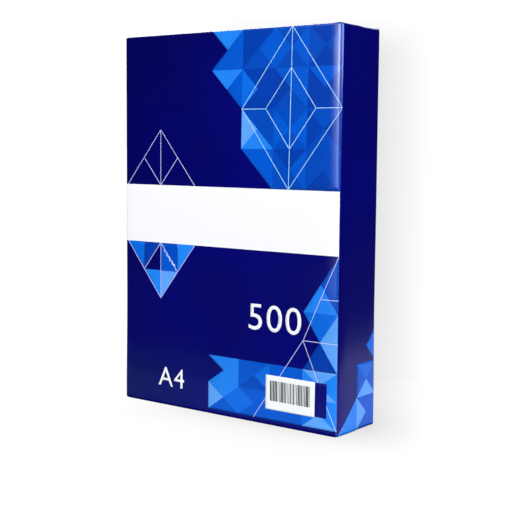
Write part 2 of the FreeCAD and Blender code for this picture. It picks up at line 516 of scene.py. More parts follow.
class Nodes:
    """Adds nodes to a tree one after another. A node fed to another one gives its first output in use."""

    def __init__(self, tree):
        self.tree = tree

    def add(self, kind, settings=None, **values):
        """A node of a kind with its properties set, and its inputs set or linked by name."""
        node = self.tree.nodes.new(kind)
        for key, value in (settings or {}).items():
            setattr(node, key, value)
        for key, value in values.items():
            self.feed(self.socket(node, key), value)
        return node

    def socket(self, node, key):
        """The enabled input whose name fits, or the input of that number if the key is like in_2."""
        if key.startswith("in_") and key[3:].isdigit():
            return node.inputs[int(key[3:])]
        wanted = key.replace("_", " ").lower()
        return next(s for s in node.inputs if s.enabled and s.name.lower() == wanted)

    def feed(self, socket, value):
        """Links a socket to a node or to another socket, or sets its own value."""
        if isinstance(value, bpy.types.Node):
            value = next(output for output in value.outputs if output.enabled)
        if isinstance(value, bpy.types.NodeSocket):
            self.tree.links.new(value, socket)
        else:
            socket.default_value = value

    def math(self, operation, first, second):
        """What a Math operation makes of two numbers."""
        return self.add("ShaderNodeMath", {"operation": operation}, in_0=first, in_1=second)

    def plus(self, first, second):
        """A sum."""
        return self.math("ADD", first, second)

    def minus(self, first, second):
        """A difference."""
        return self.math("SUBTRACT", first, second)

    def times(self, first, second):
        """A product."""
        return self.math("MULTIPLY", first, second)

    def vector(self, operation, first, **values):
        """What a Vector Math operation makes of a vector and its other inputs."""
        return self.add("ShaderNodeVectorMath", {"operation": operation}, in_0=first, **values)

    def scaled(self, vector, factor):
        """A vector times a number."""
        return self.vector("SCALE", vector, in_3=factor)

    def joined(self, x, y=0.0, z=0.0):
        """A vector from its three parts."""
        return self.add("ShaderNodeCombineXYZ", x=x, y=y, z=z)

    def split(self, vector):
        """The three parts of a vector."""
        return self.add("ShaderNodeSeparateXYZ", vector=vector).outputs

    def between(self, low, high, **values):
        """A random number between two others."""
        return self.add("FunctionNodeRandomValue", {"data_type": "FLOAT"}, in_2=low, in_3=high, **values)

    def stored(self, geometry, name, data_type, value, domain):
        """The geometry with a field kept under a name."""
        return self.add(
            "GeometryNodeStoreNamedAttribute", {"data_type": data_type, "domain": domain},
            geometry=geometry, name=name, value=value,
        )

    def named(self, name, data_type="FLOAT_VECTOR"):
        """The field that is kept under a name."""
        return self.add("GeometryNodeInputNamedAttribute", {"data_type": data_type}, name=name)

    def own_place(self):
        """The place of a shaded point in its object."""
        return self.add("ShaderNodeTexCoord").outputs["Object"]

    def noise(self, scale, detail, roughness):
        """Noise from 0 to 1 that is fixed to the object."""
        return self.add(
            "ShaderNodeTexNoise", vector=self.own_place(), scale=scale, detail=detail, roughness=roughness
        )

    def mix(self, share, first, second):
        """A colour between two others."""
        return self.add("ShaderNodeMix", {"data_type": "RGBA"}, in_0=share, in_6=first, in_7=second)

    def ramp(self, value, start, end, kind="LINEAR", **values):
        """0 at start, 1 at end, and a straight rise between them."""
        settings = {"interpolation_type": kind}
        return self.add("ShaderNodeMapRange", settings, value=value, in_1=start, in_2=end, **values)

    def smooth_ramp(self, value, start, end):
        """0 at start, 1 at end, and a smooth rise between them."""
        return self.ramp(value, start, end, "SMOOTHSTEP")


# The kind of a socket, by the type of its default
SOCKET_KINDS = {int: "Int", float: "Float", tuple: "Color"}


def new_tree(name, kind, inputs, outputs):
    """An empty node tree: its nodes, the sockets of its inputs and the sockets of its outputs.

    Each input is named with its default, or with its kind if it has none, and each output with its kind.
    """
    tree = bpy.data.node_groups.new(name, f"{kind}NodeTree")
    for label, default in inputs.items():
        given_kind = default if isinstance(default, str) else SOCKET_KINDS[type(default)]
        socket = tree.interface.new_socket(
            name=label, in_out="INPUT", socket_type=f"NodeSocket{given_kind}"
        )
        if given_kind != default:
            socket.default_value = default
    for label, wanted_kind in outputs.items():
        tree.interface.new_socket(name=label, in_out="OUTPUT", socket_type=f"NodeSocket{wanted_kind}")
    start, end = tree.nodes.new("NodeGroupInput"), tree.nodes.new("NodeGroupOutput")
    return Nodes(tree), start.outputs, end.inputs


def shared_tree(name, make_it):
    """The node tree of a name, made on its first use."""
    return bpy.data.node_groups.get(name) or make_it(name)


def evaluated_mesh(holder):
    """The plain mesh that an object comes to. The object is used up."""
    evaluated = holder.evaluated_get(bpy.context.evaluated_depsgraph_get())
    mesh = bpy.data.meshes.new_from_object(evaluated)
    bpy.data.objects.remove(holder)
    return mesh


def applied(mesh, tree, **values):
    """The mesh that a Geometry Nodes tree makes of a mesh, as a plain mesh."""
    holder = new_object("workpiece", mesh)
    modifier = holder.modifiers.new(tree.name, "NODES")
    modifier.node_group = tree
    names = {item.name: item.identifier for item in tree.interface.items_tree if item.in_out == "INPUT"}
    for key, value in values.items():
        modifier[names[key.replace("_", " ").capitalize()]] = value
    return evaluated_mesh(holder)


def mosaic_tree():
    """Cells of four facets each in turns of blue. Facets left of a slanted edge are cut away."""
    make, given, wanted = new_tree(
        "facet mosaic",
        "Geometry",
        {
            "Columns": 7,
            "Rows": 4,
            "Cell width": 0.03,
            "Cell height": 0.03,
            "Left": 0.0,
            "Bottom": 0.0,
            "Edge at bottom": 0.0,
            "Edge slope": 0.0,
            "Darkest": 0.0,
            "Spread": 0.4,
            "Edge lift": 0.0,
            "Right lift": 0.0,
            "Seed": 0,
        },
        {"Geometry": "Geometry"},
    )
    width = make.times(given["Cell width"], given["Columns"])
    height = make.times(given["Cell height"], given["Rows"])
    grid = make.add(
        "GeometryNodeMeshGrid", size_x=width, size_y=height,
        vertices_x=make.plus(given["Columns"], 1.0), vertices_y=make.plus(given["Rows"], 1.0),
    )
    middle = make.joined(
        make.plus(given["Left"], make.times(width, 0.5)),
        make.plus(given["Bottom"], make.times(height, 0.5)),
    )
    placed = make.add("GeometryNodeTransform", geometry=grid, translation=middle)
    centres = make.add("GeometryNodeMeshToPoints", {"mode": "FACES"}, mesh=placed)
    four = make.add(
        "GeometryNodeMeshCircle", {"fill_type": "TRIANGLE_FAN"}, vertices=4, radius=math.sqrt(0.5)
    )
    turned = make.add("GeometryNodeTransform", geometry=four, rotation=(0, 0, math.pi / 4))
    size = make.joined(given["Cell width"], given["Cell height"], 1.0)
    cell = make.add("GeometryNodeTransform", geometry=turned, scale=size)
    cells = make.add("GeometryNodeInstanceOnPoints", points=centres, instance=cell)
    real = make.add("GeometryNodeRealizeInstances", geometry=cells)
    x, y, _ = make.split(make.add("GeometryNodeInputPosition"))
    up = make.minus(y, given["Bottom"])
    edge = make.plus(given["Edge at bottom"], make.times(up, given["Edge slope"]))
    inside = make.minus(x, edge)
    outside = make.math("LESS_THAN", inside, 0.0)
    kept = make.add("GeometryNodeDeleteGeometry", {"domain": "FACE"}, geometry=real, selection=outside)
    merged = make.add("GeometryNodeMergeByDistance", geometry=kept, distance=TOUCHING)
    draw = make.between(0.0, 1.0, id=make.add("GeometryNodeInputIndex"), seed=given["Seed"])
    tone = make.plus(given["Darkest"], make.times(draw, given["Spread"]))
    off_right = make.minus(make.plus(given["Left"], width), x)
    for off_side, cells_wide, lift in ((inside, 0.6, "Edge lift"), (off_right, 1.0, "Right lift")):
        near = make.math("LESS_THAN", off_side, make.times(given["Cell width"], cells_wide))
        tone = make.plus(tone, make.times(near, given[lift]))
    blues = facet_blues()
    shape = make.add("GeometryNodeSetMaterial", geometry=merged, material=blues[0])
    for number, blue in enumerate(blues[1:], start=1):
        above = make.math("GREATER_THAN", tone, number / len(blues))
        shape = make.add("GeometryNodeSetMaterial", geometry=shape, selection=above, material=blue)
    make.feed(wanted["Geometry"], shape)
    return make.tree


def ink_squares(make, given, wanted, points, **placing):
    """Ends a tree with a square of ink on each point, placed and scaled as told."""
    square = make.add("GeometryNodeMeshGrid", size_x=1.0, size_y=1.0, vertices_x=2, vertices_y=2)
    squares = make.add("GeometryNodeInstanceOnPoints", points=points, instance=square, **placing)
    real = make.add("GeometryNodeRealizeInstances", geometry=squares)
    inked = make.add("GeometryNodeSetMaterial", geometry=real, material=given["Ink"])
    make.feed(wanted["Geometry"], inked)
    return make.tree


def stroke_tree():
    """Turns each edge of a flat drawing into a straight strip of ink."""
    make, given, wanted = new_tree(
        "ink strokes",
        "Geometry",
        {"Geometry": "Geometry", "Width": 0.75 * MM, "Ink": "Material"},
        {"Geometry": "Geometry"},
    )
    ends = make.add("GeometryNodeInputMeshEdgeVertices").outputs
    along = make.vector("SUBTRACT", ends["Position 2"], in_1=ends["Position 1"])
    edges = make.stored(given["Geometry"], "along", "FLOAT_VECTOR", along, "EDGE")
    edges = make.stored(edges, "run", "FLOAT", make.vector("LENGTH", along), "EDGE")
    points = make.add("GeometryNodeMeshToPoints", {"mode": "EDGES"}, mesh=edges)
    heading = make.add(
        "FunctionNodeAlignRotationToVector", {"axis": "X", "pivot_axis": "Z"}, vector=make.named("along")
    )
    reach = make.plus(make.named("run", "FLOAT"), given["Width"])
    size = make.joined(reach, given["Width"], 1.0)
    return ink_squares(make, given, wanted, points, rotation=heading, scale=size)


def bars_tree():
    """A row of upright bars of uneven width."""
    make, given, wanted = new_tree(
        "label bars",
        "Geometry",
        {
            "Count": 30, "Pitch": 1.2 * MM, "Height": 15 * MM, "Left": 0.0, "Middle": 0.0, "Seed": 3,
            "Ink": "Material",
        },
        {"Geometry": "Geometry"},
    )
    row = make.add(
        "GeometryNodeMeshLine", count=given["Count"],
        start_location=make.joined(given["Left"], given["Middle"]), offset=make.joined(given["Pitch"]),
    )
    thickness = make.between(0.2, 0.8, seed=given["Seed"])
    size = make.joined(make.times(thickness, given["Pitch"]), given["Height"], 1.0)
    return ink_squares(make, given, wanted, row, scale=size)


def laying_tree(name):
    """Lays flat artwork on the wrapper through its UV map and gives it a film's thickness.

    A point's x and y are its place on the sheet, and its z is its height above the paper.
    """
    make, given, wanted = new_tree(
        name,
        "Geometry",
        {"Geometry": "Geometry", "Wrapper": "Object", "Lift": INK_LAYER},
        {"Geometry": "Geometry"},
    )
    position = make.add("GeometryNodeInputPosition")
    flat = make.stored(given["Geometry"], "flat", "FLOAT_VECTOR", position, "POINT")
    wrapper = make.add("GeometryNodeObjectInfo", {"transform_space": "RELATIVE"}, object=given["Wrapper"])
    own_place, sheet = make.named("flat"), make.named(SHEET_MAP)

    def on_wrapper(kind):
        return make.add(
            "GeometryNodeSampleUVSurface", {"data_type": "FLOAT_VECTOR"},
            mesh=wrapper.outputs["Geometry"], value=make.add(kind), in_2=sheet, in_3=own_place,
        )

    surface = on_wrapper("GeometryNodeInputPosition")
    outward = make.vector("NORMALIZE", on_wrapper("GeometryNodeInputNormal"))
    root = make.vector("SUBTRACT", surface, in_1=make.scaled(outward, FILM_ROOT))
    bottom = make.add("GeometryNodeSetPosition", geometry=flat, position=root)
    height = make.split(own_place)["Z"]
    thickness = make.plus(make.plus(FILM_ROOT, given["Lift"]), height)
    film = make.add(
        "GeometryNodeExtrudeMesh", {"mode": "FACES"}, mesh=bottom,
        offset=make.scaled(outward, thickness), offset_scale=1.0, individual=False,
    )
    shaded = film
    for smooth, faces in ((True, {}), (False, {"selection": film.outputs["Side"]})):
        shaded = make.add(
            "GeometryNodeSetShadeSmooth", {"domain": "FACE"}, geometry=shaded, shade_smooth=smooth, **faces
        )
    both = make.add("GeometryNodeJoinGeometry")
    make.feed(both.inputs[0], make.add("GeometryNodeFlipFaces", mesh=bottom))
    make.feed(both.inputs[0], shaded)
    cleared = make.add("GeometryNodeMergeByDistance", geometry=both, distance=TOUCHING / 10)
    for attribute in ("flat", "along", "run"):
        cleared = make.add("GeometryNodeRemoveAttribute", geometry=cleared, name=attribute)
    make.feed(wanted["Geometry"], cleared)
    return make.tree


def cut_along_wrapper(mesh, form):
    """Cuts flat artwork along the wrapper's own mesh lines, so that it bends where the wrapper does."""
    work = bmesh.new()
    work.from_mesh(mesh)
    work.normal_update()
    low = np.min([v.co for v in work.verts], axis=0)
    high = np.max([v.co for v in work.verts], axis=0)
    for axis, lines in enumerate((form.section.u, form.rows.v)):
        normal = Vector.Fill(3)
        normal[axis] = 1
        for line in lines:
            if low[axis] + TOUCHING < line < high[axis] - TOUCHING:
                everything = [*work.verts, *work.edges, *work.faces]
                bmesh.ops.bisect_plane(
                    work, geom=everything, plane_co=normal * line, plane_no=normal, dist=TOUCHING
                )
    bmesh.ops.reverse_faces(work, faces=[face for face in work.faces if face.normal.z < 0])
    work.to_mesh(mesh)
    work.free()
    return mesh


def lay_print(context, name, flat, layer):
    """Lays flat artwork on the wrapper as a piece of its own. Layers of ink count from the paper."""
    cut = cut_along_wrapper(flat, wrapper_form(context))
    tree = shared_tree("lay on the wrapper", laying_tree)
    wrapper = bpy.data.objects["wrapper"]
    return add_piece(name, applied(cut, tree, wrapper=wrapper, lift=layer * INK_LAYER))


def new_mesh(name, points, edges, faces, materials=()):
    """A mesh with its materials."""
    mesh = bpy.data.meshes.new(name)
    mesh.from_pydata(points, edges, faces)
    for material in materials:
        mesh.materials.append(material)
    return mesh


def polygons(name, shapes, materials):
    """A flat mesh of polygons. Each shape is its corners and the number of its material."""
    points, faces = [], []
    for corners, _ in shapes:
        faces.append(list(range(len(points), len(points) + len(corners))))
        points += [(x, y, 0) for x, y in corners]
    mesh = new_mesh(name, points, [], faces, materials)
    for face, (_, number) in zip(mesh.polygons, shapes):
        face.material_index = number
    return mesh


def rectangle(left, bottom, right, top):
    """A rectangle's corners."""
    return [(left, bottom), (right, bottom), (right, top), (left, top)]


# How much the roughness of the film varies from place to place, and the strength of its dimples
FILM_UNEVENNESS = 0.08
DIMPLE_STRENGTH = 0.12


def laminate_tree(name):
    """The skin of a laminated print: fine fibre, soft dimples, and patches of duller gloss."""
    make, given, wanted = new_tree(
        name,
        "Shader",
        {"Roughness": 0.25, "Fibre": 0.08},
        {"Roughness": "Float", "Normal": "Vector"},
    )
    patches = make.noise(scale=22.0, detail=4.0, roughness=0.6)
    swing = make.times(make.minus(patches, 0.5), FILM_UNEVENNESS)
    fine = make.add(
        "ShaderNodeBump", strength=given["Fibre"], distance=0.02 * MM,
        height=make.noise(scale=2600.0, detail=3.0, roughness=0.7),
    )
    soft = make.add(
        "ShaderNodeBump", strength=DIMPLE_STRENGTH, distance=0.2 * MM,
        height=make.noise(scale=260.0, detail=2.0, roughness=0.5), normal=fine,
    )
    make.feed(wanted["Roughness"], make.plus(given["Roughness"], swing))
    make.feed(wanted["Normal"], soft)
    return make.tree


def drift_tree(name):
    """Two tones of one ink that drift into each other across the sheet."""
    make, given, wanted = new_tree(
        name,
        "Shader",
        {"Dark": (0.0, 0.0, 0.0, 1.0), "Light": (1.0, 1.0, 1.0, 1.0), "Scale": 24.0},
        {"Color": "Color"},
    )
    drift = make.noise(scale=given["Scale"], detail=1.0, roughness=0.4)
    share = make.ramp(drift, 0.3, 0.7)
    make.feed(wanted["Color"], make.mix(share, given["Dark"], given["Light"]))
    return make.tree


def new_material(name):
    """A new material, its Principled shader and its nodes."""
    material = bpy.data.materials.new(name)
    material.use_nodes = True
    shader = material.node_tree.nodes["Principled BSDF"]
    return material, shader, Nodes(material.node_tree)


def place_group(make, name, make_it, **values):
    """A shared node group in a material, with its inputs set by name."""
    node = make.tree.nodes.new("ShaderNodeGroup")
    node.node_tree = shared_tree(name, make_it)
    for key, value in values.items():
        make.feed(node.inputs[key.capitalize()], value)
    return node


# Roughness of the film over the ground and the facets
FILM_ROUGHNESS = 0.14
# Painted shade, darker towards the upper left of the pack: the lightness where it is deepest and away
# from it, the places in metres between which it changes, and how much of the height counts in them
PAINTED_SHADE_DARKEST = 0.5
PAINTED_SHADE_LIGHTEST = 0.97
PAINTED_SHADE_FADE = (-0.2, -0.05)
PAINTED_SHADE_SLANT = -0.35
# How near a fold and how high its speckle is where the ink is scuffed, and how much of it is lost
WEAR_LEVEL = 0.42
WEAR_SHARE = 0.16
# Colours in linear light: scuffed and cut paper, then the plain inks
SCUFFED = (0.55, 0.55, 0.68, 1.0)
RAW_PAPER = (0.72, 0.71, 0.7, 1.0)
WHITE = (0.95, 0.96, 0.98)
BLACK = (0.012, 0.012, 0.014)
LINE_ON_BLUE = (0.42, 0.76, 1.0)
LINE_ON_GROUND = (0.57, 0.62, 1.0)


def laminated(name, make_colour, roughness, specular=0.45, **relief):
    """The paper material of a name, made on its first use from a function that gives its colour."""
    found = bpy.data.materials.get(name)
    if found:
        return found
    material, shader, make = new_material(name)
    make.feed(shader.inputs["Base Color"], make_colour(make))
    shader.inputs["Specular IOR Level"].default_value = specular
    skin = place_group(make, "laminate skin", laminate_tree, roughness=roughness, **relief)
    for label in ("Roughness", "Normal"):
        make.feed(shader.inputs[label], skin.outputs[label])
    return material


def drifting(make, rgb, drift, scale):
    """A colour that drifts from a little darker to a little lighter."""
    dark, light = [
        (*(min(1.0, part * factor) for part in rgb), 1.0) for factor in (1 - drift, 1 + drift)
    ]
    return place_group(make, "ink drift", drift_tree, dark=dark, light=light, scale=scale)


def ground_colour_and_painted_shade(make):
    """The ground's colour with its scuffed folds, and painted shade that darkens it towards the upper
    left.
    """
    base = drifting(make, bpy.context.scene.ream_print.ground, drift=0.15, scale=14.0)
    x, _, z = make.split(make.own_place())
    # Painted shade: the colour is darkened towards the upper left of the pack, by place in space
    painted_shading = make.ramp(
        slanted(make, x, z, 1.0, PAINTED_SHADE_SLANT), *PAINTED_SHADE_FADE, in_3=PAINTED_SHADE_DARKEST, in_4=PAINTED_SHADE_LIGHTEST
    )
    near = make.add("ShaderNodeAttribute", {"attribute_name": FOLD_ATTRIBUTE}).outputs["Fac"]
    speckle = make.noise(scale=900.0, detail=4.0, roughness=0.7)
    worn = make.math("GREATER_THAN", make.times(near, speckle), WEAR_LEVEL)
    return make.mix(make.times(worn, WEAR_SHARE), make.scaled(base, painted_shading), SCUFFED)


def ground_ink_and_painted_shade():
    """The wrapper's ground, with painted shade towards the upper left."""
    return laminated("ground ink", ground_colour_and_painted_shade, FILM_ROUGHNESS)


def facet_blues():
    """The seven blues of the facets, darkest first."""
    printed = bpy.context.scene.ream_print

    def blue(tone):
        return laminated(
            f"{tone} ink",
            lambda make: drifting(make, getattr(printed, tone), drift=0.06, scale=30.0),
            FILM_ROUGHNESS,
        )

    return [blue(f"blue_{number}") for number in range(1, 8)]


def plain_ink(name, rgb, roughness=0.2):
    """A printed ink of one even colour."""
    return laminated(name, lambda make: (*rgb, 1.0), roughness)


def white_ink():
    """White ink of the numerals and the label."""
    return plain_ink("white ink", WHITE)


def raw_paper():
    """The white core of the paper, seen on a cut edge."""
    return laminated(
        "raw paper edge", lambda make: RAW_PAPER, roughness=0.8, specular=0.2, fibre=0.6
    )


class REAM_OT_wrapper(bpy.types.Operator):
    """Make the wrapper folded round the stack"""

    bl_idname = "ream.make_wrapper"
    bl_label = "Wrapper"

    def execute(self, context):
        printed = context.scene.ream_print
        mesh = wrapper_mesh(wrapper_form(context), printed)
        band = plain_ink("band ink", printed.band, roughness=0.3)
        piece = add_piece("wrapper", mesh, ground_ink_and_painted_shade(), band)
        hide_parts(CAD_NODE)
        return {"FINISHED"}


# How far an end flap starts inside the panel, and how far down the panel it starts
FLAP_SUNK = 1.6 * MM
FLAP_RUN_IN = 4 * MM
# Rows of points of a flap on the panel, over the bend and on the end, and its columns of faces
FLAP_ROWS = (4, 9, 15)
FLAP_COLUMNS = 60
# The share of the bend in which a flap rises out of the panel
FLAP_RISE = (0.2, 1.0)
# Length and width of the swells in a flap, and the strip along its fold that stays plain
FLAP_SWELL = (30 * MM, 20 * MM)
FLAP_RIM = 6 * MM


def flap_path(form, upward, from_back, reach, level):
    """A flap's way from the panel over the bend onto the end: y, z, the way out and the rise that way."""
    section, rows = form.section, form.rows
    bend = rows.bend
    fold = section.back if from_back else section.front
    inward = -1 if from_back else 1
    cap = rows.high if upward else rows.low
    sign = 1 if upward else -1
    on_panel, over_bend, on_end = [np.linspace(0, 1, rows_of_points) for rows_of_points in FLAP_ROWS]
    path = []
    for share in on_panel:
        z = cap - sign * (bend + FLAP_RUN_IN * (1 - share))
        path.append((fold, z, (-inward, 0), -FLAP_SUNK))
    for share in over_bend[1:]:
        turn = share * math.pi / 2
        y = fold + inward * bend * (1 - math.cos(turn))
        z = cap - sign * bend * (1 - math.sin(turn))
        rise = -FLAP_SUNK + (level + FLAP_SUNK) * smooth_step(share, *FLAP_RISE)
        path.append((y, z, (-inward * math.cos(turn), sign * math.sin(turn)), rise))
    for share in on_end[1:]:
        path.append((fold + inward * (bend + share * (reach - bend)), cap, (0, sign), level))
    return path


def flap_half_width(section, bend, inset):
    """Half the width of a flap at a distance from its fold: round at the fold, and then narrowing."""
    straight = section.half_width - section.radius
    if inset > bend:
        rim = section.radius - bend
        corner = max(0.0, section.radius - inset)
        straight += math.sqrt(max(rim * rim - corner * corner, 0.0))
    return min(straight, section.half_width - inset)


def flap_mesh(form, upward, from_back, reach, level, thickness):
    """One end flap as a thin closed sheet: it rises out of the panel at the fold and lies on the end."""
    section, bend = form.section, form.rows.bend
    path = flap_path(form, upward, from_back, reach, level)
    upper, lower = [], []
    for y, z, (ny, nz), rise in path:
        inset = abs(y - path[0][0])
        half = flap_half_width(section, bend, inset)
        for across in np.linspace(-1, 1, FLAP_COLUMNS + 1):
            x = across * half
            hollow = grain(x, y, (*FLAP_SWELL, 8.0 + level / MM), mean=0.4, swing=0.4)
            hollow *= form.settings.slackness * smooth_step(inset, bend, FLAP_RIM)
            high = rise - hollow
            deep = min(high, 0.0) - thickness
            upper.append(Vector((x, y + ny * high, z + nz * high)))
            lower.append(Vector((x, y + ny * deep, z + nz * deep)))
    count, total = FLAP_COLUMNS + 1, len(upper)
    faces = grid_faces(count, len(path), lambda p, q: q * count + p)
    faces += [tuple(total + i for i in face) for face in turned_over(faces)]
    broad_faces = len(faces)
    last_row = range(total - count, total)
    rim_loop = (
        [*range(count)]
        + [q * count + FLAP_COLUMNS for q in range(1, len(path))]
        + [*last_row][-2::-1]
        + [q * count for q in range(len(path) - 2, 0, -1)]
    )
    for start, end in zip(rim_loop, rim_loop[1:] + rim_loop[:1]):
        faces.append((end, start, total + start, total + end))
    mesh = new_mesh("flap", upper + lower, [], turned_over(faces) if from_back == upward else faces)
    for number, face in enumerate(mesh.polygons):
        face.use_smooth = number < broad_faces
        if number >= broad_faces and all(i % total in last_row for i in face.vertices):
            face.material_index = 1
    keep_folds(mesh, [0.0] * (2 * total))
    return mesh


class REAM_OT_folds(bpy.types.Operator):
    """Make the flaps that close both ends, and the glued overlap down the back"""

    bl_idname = "ream.make_folds"
    bl_label = "End folds and back seam"

    FLAP_THICKNESS = 0.3 * MM
    # Width of the seam's soft edge, and how far under the paper it starts
    SOFT_EDGE = 3 * MM
    SOFT_EDGE_SUNK = 0.04 * MM

    def execute(self, context):
        form = wrapper_form(context)
        settings = form.settings
        for end, upward in (("upper", True), ("lower", False)):
            for flap, from_back, reach, plies in (
                ("inner", False, settings.inner_flap, 1),
                ("outer", True, settings.outer_flap, 2),
            ):
                level = plies * settings.ply
                mesh = flap_mesh(form, upward, from_back, reach, level, self.FLAP_THICKNESS)
                add_piece(f"{end}_{flap}_flap", mesh, ground_ink_and_painted_shade(), raw_paper())
        self.make_seam(context, form)
        return {"FINISHED"}

    def make_seam(self, context, form):
        """The overlap: a sharp cut edge on one side, and a soft rise over the under ply on the other."""
        settings, rows = form.settings, form.rows
        middle = form.section.back_station(settings.seam_middle)
        left, right = middle - settings.seam_width / 2, middle + settings.seam_width / 2
        profile = (
            (left, -self.SOFT_EDGE_SUNK),
            (left + self.SOFT_EDGE / 2, settings.ply / 2),
            (left + self.SOFT_EDGE, settings.ply),
            (right, settings.ply),
        )
        points = [(u, v, z) for v in (rows.first - rows.bend, rows.last + rows.bend) for u, z in profile]
        faces = grid_faces(4, 2, lambda p, q: 4 * q + p)
        seam = new_mesh("seam", points, [], faces, (ground_ink_and_painted_shade(), raw_paper()))
        piece = lay_print(context, "back_seam", seam, layer=0)
        for face in piece.data.polygons:
            if not face.use_smooth:
                face.material_index = 1


class REAM_OT_mosaic(bpy.types.Operator):
    """Print the fields of blue facets on the front and the right side"""

    bl_idname = "ream.print_mosaic"
    bl_label = "Facet mosaic"

    # Corners of each facet of the figure at the lower left, in steps of the figure, and its blue
    FIGURE = (
        (((0, 0), (1, -1), (1, 0)), 3),
        (((1, 0), (1, -1), (2, 0)), 0),
        (((1, -1), (2, -2), (2, -1)), 4),
        (((2, 0), (2, -1), (3, -1)), 2),
        (((2, -1), (2, -2), (3, -1)), 5),
        (((3, 0), (3, -1), (4, 0)), 4),
        (((2, 0), (3, -1), (3, 0)), 1),
    )

    def execute(self, context):
        printed = context.scene.ream_print
        form = wrapper_form(context)
        panel, side, rows = form.section.panel, form.section.side, form.rows
        cell = panel / printed.columns
        foot_top = printed.margin + 2 * FOOT_CELL
        fields = {
            "upper_mosaic": dict(
                columns=printed.columns, rows=4, cell_width=cell, left=0.0, bottom=printed.band_top,
                cell_height=upper_cell(form, printed), edge_at_bottom=139 * MM, edge_slope=-0.42,
                darkest=0.02, spread=0.44, edge_lift=0.28, right_lift=-0.06, seed=printed.seed,
            ),
            "foot_mosaic": dict(
                columns=printed.columns, rows=2, cell_width=cell, left=0.0, bottom=printed.margin,
                cell_height=FOOT_CELL, edge_at_bottom=84 * MM, edge_slope=0.5,
                darkest=0.26, spread=0.28, edge_lift=0.2, right_lift=0.28, seed=printed.seed + 1,
            ),
            "corner_mosaic": dict(
                columns=1, rows=2, cell_width=cell, left=panel - cell, bottom=foot_top,
                cell_height=(printed.band_bottom - foot_top) / 2,
                edge_at_bottom=panel - cell + 3 * MM, edge_slope=0.22,
                darkest=0.1, spread=0.75, edge_lift=0.0, right_lift=0.0, seed=printed.seed + 5,
            ),
            "side_mosaic": dict(
                columns=2, rows=3, cell_width=side / 2, left=panel, bottom=rows.lower_fold,
                cell_height=25 * MM, edge_at_bottom=panel + 9 * MM, edge_slope=0.55,
                darkest=0.24, spread=0.5, edge_lift=0.1, right_lift=0.0, seed=printed.seed + 2,
            ),
        }
        tree = mosaic_tree()
        for name, values in fields.items():
            flat = applied(bpy.data.meshes.new(name), tree, **values)
            if name == "upper_mosaic":
                flat.transform(leaning(printed))
            lay_print(context, name, flat, layer=1)
        self.print_figure(context, printed)
        return {"FINISHED"}

    def print_figure(self, context, printed):
        """The few facets inside the outlined figure at the lower left."""
        width, height = FIGURE_STEP
        shapes = [
            ([(FIGURE_LEFT + x * width, printed.band_bottom + y * height) for x, y in corners], blue)
            for corners, blue in self.FIGURE
        ]
        lay_print(context, "corner_facets", polygons("facets", shapes, facet_blues()), layer=1)


def upper_cell(form, printed):
    """Height of the four rows of facets that reach from the band to the fold line at the upper end."""
    return (form.rows.upper_fold - printed.band_top) / 4


def leaning(printed):
    """The slant of the print above the band: nothing at the band, and more towards the upper end."""
    slant = Matrix.Identity(4)
    slant[0][1] = printed.skew
    slant[0][3] = -printed.skew * printed.band_top
    return slant


def drawn_edges(lines, place, step):
    """A flat mesh of edges from lines given in steps from a place."""
    points = [(place[0] + x * step[0], place[1] + y * step[1], 0) for line in lines for x, y in line]
    return new_mesh("lines", points, [(start, start + 1) for start in range(0, len(points), 2)], [])


def diamond(x, y, half_width, half_height):
    """The four sides of a diamond."""
    tips = [(x - half_width, y), (x, y + half_height), (x + half_width, y), (x, y - half_height)]
    return list(zip(tips, tips[1:] + tips[:1]))


class REAM_OT_outlines(bpy.types.Operator):
    """Print the thin pale outlines"""

    bl_idname = "ream.print_outlines"
    bl_label = "Thin outlines"

    # Both ends of each line, in facet cells or in steps of the figure
    UPPER_LINES = (
        *diamond(5.5, 2, 1.5, 2), *diamond(5.5, 2, 0.75, 1),
        ((5.5, 0), (5.5, 4)), ((6.25, 2), (7, 2)), ((4, 2), (4.75, 2)),
    )
    LOWER_LINES = (
        ((7, 6), (6, 3)), ((6, 3), (7, 0)), ((6, 3), (7, 3)), ((6, 3), (4.5, 0)), ((7, 4.5), (6.5, 4.5)),
    )
    FIGURE_LINES = (
        ((0, 0), (2, 2)), ((2, 2), (4, 0)), ((1, 1), (2, 0)), ((2, 0), (3, 1)), ((2, 0), (2, 2)),
    )
    UPPER_FIGURE_STEP = (18 * MM, 22 * MM)

    def execute(self, context):
        printed = context.scene.ream_print
        form = wrapper_form(context)
        cell = form.section.panel / printed.columns
        upper_step = (cell, upper_cell(form, printed))
        downward = (FIGURE_STEP[0], -FIGURE_STEP[1])
        over_band, under_band = (FIGURE_LEFT, printed.band_top), (FIGURE_LEFT, printed.band_bottom)
        tree = stroke_tree()
        on_blue = plain_ink("line ink on blue", LINE_ON_BLUE)
        on_ground = plain_ink("line ink on the ground", LINE_ON_GROUND)
        for name, lines, ink, place, step in (
            ("upper_outlines", self.UPPER_LINES, on_blue, (0.0, printed.band_top), upper_step),
            ("lower_outlines", self.LOWER_LINES, on_ground, (0.0, printed.margin), (cell, FOOT_CELL)),
            ("left_outlines", self.FIGURE_LINES, on_ground, over_band, self.UPPER_FIGURE_STEP),
            ("lower_left_outlines", self.FIGURE_LINES, on_ground, under_band, downward),
        ):
            drawing = drawn_edges(lines, place, step)
            if name == "upper_outlines":
                drawing.transform(leaning(printed))
            flat = applied(drawing, tree, width=printed.line_width, ink=ink)
            lay_print(context, name, flat, layer=2)
        return {"FINISHED"}


